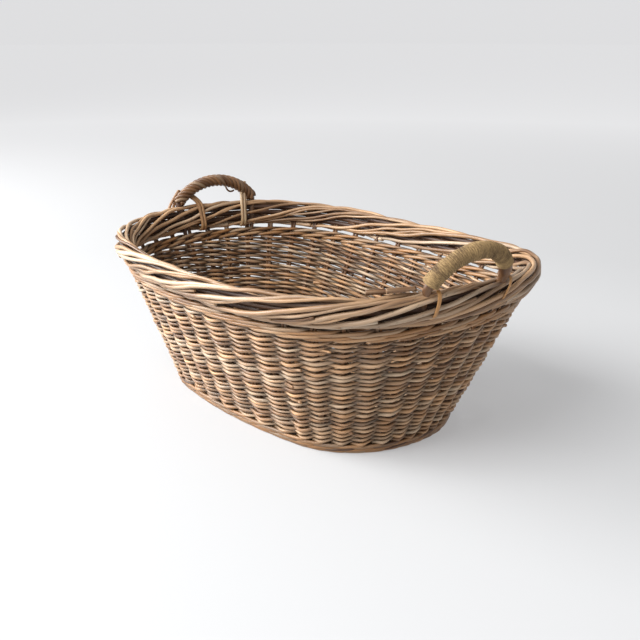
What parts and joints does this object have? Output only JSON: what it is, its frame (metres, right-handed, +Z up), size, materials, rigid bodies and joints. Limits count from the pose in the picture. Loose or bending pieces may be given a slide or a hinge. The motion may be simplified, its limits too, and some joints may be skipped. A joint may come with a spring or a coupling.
{
  "type": "woven willow laundry basket",
  "caption": "Oval flared willow laundry basket with a rolled border, an open gap under it and a bow handle at each end.",
  "frame": {"origin": "centre of the underside of the base", "axes": "+X along the basket towards the end with the twined handle, +Z up, +Y to the left when facing +X"},
  "size_m": [0.7488, 0.5132, 0.3233],
  "materials": {
    "weaver_willow": "worn unpeeled and buff willow weavers, dull",
    "wale_willow": "worn willow, dull",
    "stick_willow": "thicker willow rods, dull",
    "border_willow": "greyed and worn willow rods, smooth",
    "handle_willow": "hand-polished greyed willow rods",
    "binding_willow": "pale split willow",
    "twine": "fine khaki twine, matt",
    "cane_tie": "flat cane, satin"
  },
  "bodies": {
    "root": {"base_cross_sticks": "stick_willow", "base_long_sticks": "stick_willow", "base_weave": "weaver_willow", "upsett_wale": "wale_willow", "siding_lower": "weaver_willow", "siding_middle": "weaver_willow", "siding_upper": "weaver_willow", "top_wale": "wale_willow", "stakes_near_end": "stick_willow", "stakes_left_side": "stick_willow", "stakes_far_end": "stick_willow", "stakes_right_side": "stick_willow", "bye_stakes_near_end": "stick_willow", "bye_stakes_left_side": "stick_willow", "bye_stakes_far_end": "stick_willow", "bye_stakes_right_side": "stick_willow", "border_outer_low": "border_willow", "border_outer_mid": "border_willow", "border_outer_high": "border_willow", "border_inner_low": "border_willow", "border_inner_mid": "border_willow", "border_inner_high": "border_willow", "border_top": "border_willow", "far_handle_bow": "handle_willow", "far_handle_roping": "handle_willow", "far_binding_left": "binding_willow", "far_binding_right": "binding_willow", "near_handle_bow": "handle_willow", "near_handle_twine": "twine", "near_tie_left": "cane_tie", "near_tie_right": "cane_tie", "near_handle_tail_rods": "border_willow"}
  },
  "joints": []
}
